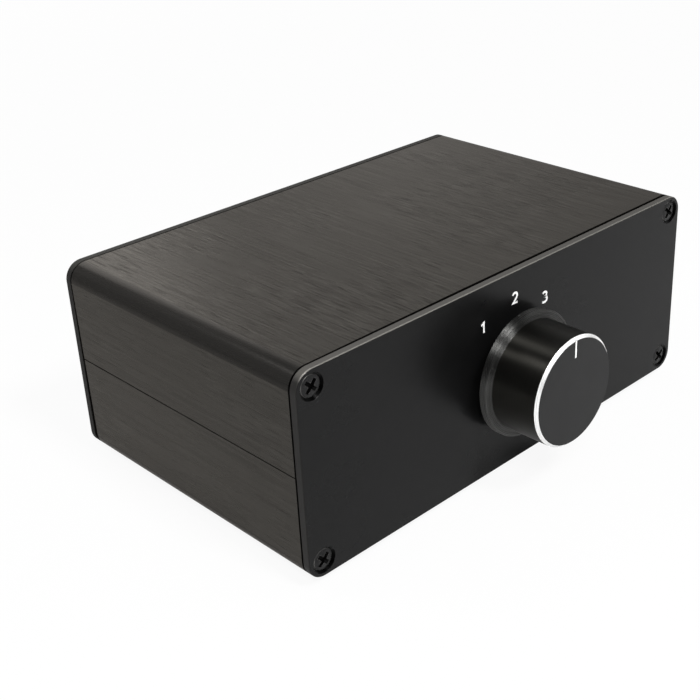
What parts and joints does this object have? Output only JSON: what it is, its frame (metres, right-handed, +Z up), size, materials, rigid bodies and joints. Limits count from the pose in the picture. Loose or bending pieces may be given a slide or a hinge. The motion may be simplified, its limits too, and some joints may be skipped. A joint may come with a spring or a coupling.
{
  "type": "xlr audio selector",
  "caption": "Desktop selector box for balanced audio: black brushed casing, stepped rotary knob in front, locking three-pin sockets at the rear.",
  "frame": {"origin": "on the plane of the feet, under the middle of the whole outline", "axes": "+X to the right, -Y towards the user and the knob, +Z up"},
  "size_m": [0.165, 0.1282, 0.065],
  "materials": {
    "shell": "black anodised, brushed along the depth",
    "front_panel": "black anodised, satin",
    "rear_panel": "black anodised, satin",
    "black_screw": "black oxide",
    "foot_rubber": "matte",
    "knob": "black anodised with a bright cut ring",
    "pointer_white": "white paint fill",
    "steel": "bright",
    "plated_zinc": "zinc plated",
    "plated_brass": "nickel plated",
    "switch_plastic": "moulded",
    "white_nylon": "moulded",
    "phenolic": "laminate",
    "contact_metal": "silver plated",
    "board_green": "solder mask",
    "ribbon_grey": "flat cable",
    "socket_black": "moulded",
    "insert_black": "moulded",
    "tab_metal": "nickel plated"
  },
  "bodies": {
    "casing": {"bottom_shell": "shell", "deck_1_contacts": "contact_metal", "deck_1_stator": "phenolic", "deck_2_contacts": "contact_metal", "deck_2_stator": "phenolic", "detent_housing": "switch_plastic", "front_panel": "front_panel", "front_panel_screws": "black_screw", "front_ribbon_plug": "switch_plastic", "input_1_left_insert": "insert_black", "input_1_left_socket": "socket_black", "input_1_right_insert": "insert_black", "input_1_right_socket": "socket_black", "input_2_left_insert": "insert_black", "input_2_left_socket": "socket_black", "input_2_right_insert": "insert_black", "input_2_right_socket": "socket_black", "input_3_left_insert": "insert_black", "input_3_left_socket": "socket_black", "input_3_right_insert": "insert_black", "input_3_right_socket": "socket_black", "input_contacts": "contact_metal", "output_left_insert": "insert_black", "output_left_socket": "socket_black", "output_pins": "contact_metal", "output_right_insert": "insert_black", "output_right_socket": "socket_black", "panel_nut": "plated_brass", "panel_washer": "steel", "rear_panel": "rear_panel", "rear_panel_screws": "black_screw", "rear_ribbon_plug": "switch_plastic", "ribbon_cable": "ribbon_grey", "rubber_feet": "foot_rubber", "socket_board": "board_green", "socket_board_header": "switch_plastic", "socket_screws": "black_screw", "switch_board": "board_green", "switch_board_header": "switch_plastic", "switch_cover": "plated_zinc", "switch_tie_screws": "steel", "top_shell": "shell"},
    "selector": {"selector_knob": "knob", "knob_pointer_line": "pointer_white", "knob_grub_screw": "black_screw", "switch_shaft": "steel", "shaft_clip": "steel", "detent_carrier": "white_nylon", "detent_balls": "steel", "detent_springs": "steel", "deck_1_rotor": "white_nylon", "deck_2_rotor": "white_nylon", "deck_1_wipers": "contact_metal", "deck_2_wipers": "contact_metal"},
    "input_1_left_release": {"input_1_left_release_tab": "tab_metal"},
    "input_1_right_release": {"input_1_right_release_tab": "tab_metal"},
    "input_2_left_release": {"input_2_left_release_tab": "tab_metal"},
    "input_2_right_release": {"input_2_right_release_tab": "tab_metal"},
    "input_3_left_release": {"input_3_left_release_tab": "tab_metal"},
    "input_3_right_release": {"input_3_right_release_tab": "tab_metal"}
  },
  "joints": [
    {"name": "selector_turn", "type": "hinge", "parent": "casing", "child": "selector", "pos_m": [0, -0.0419, 0.0342], "axis": [0, 1, 0], "range_deg": [-36, 36]},
    {"name": "input_1_left_release_press", "type": "slide", "parent": "casing", "child": "input_1_left_release", "axis": [0, -1, 0], "range_m": [0, 0.0016], "stiffness_N_per_m": 900, "springref_m": -0.001},
    {"name": "input_1_right_release_press", "type": "slide", "parent": "casing", "child": "input_1_right_release", "axis": [0, -1, 0], "range_m": [0, 0.0016], "stiffness_N_per_m": 900, "springref_m": -0.001},
    {"name": "input_2_left_release_press", "type": "slide", "parent": "casing", "child": "input_2_left_release", "axis": [0, -1, 0], "range_m": [0, 0.0016], "stiffness_N_per_m": 900, "springref_m": -0.001},
    {"name": "input_2_right_release_press", "type": "slide", "parent": "casing", "child": "input_2_right_release", "axis": [0, -1, 0], "range_m": [0, 0.0016], "stiffness_N_per_m": 900, "springref_m": -0.001},
    {"name": "input_3_left_release_press", "type": "slide", "parent": "casing", "child": "input_3_left_release", "axis": [0, -1, 0], "range_m": [0, 0.0016], "stiffness_N_per_m": 900, "springref_m": -0.001},
    {"name": "input_3_right_release_press", "type": "slide", "parent": "casing", "child": "input_3_right_release", "axis": [0, -1, 0], "range_m": [0, 0.0016], "stiffness_N_per_m": 900, "springref_m": -0.001}
  ]
}
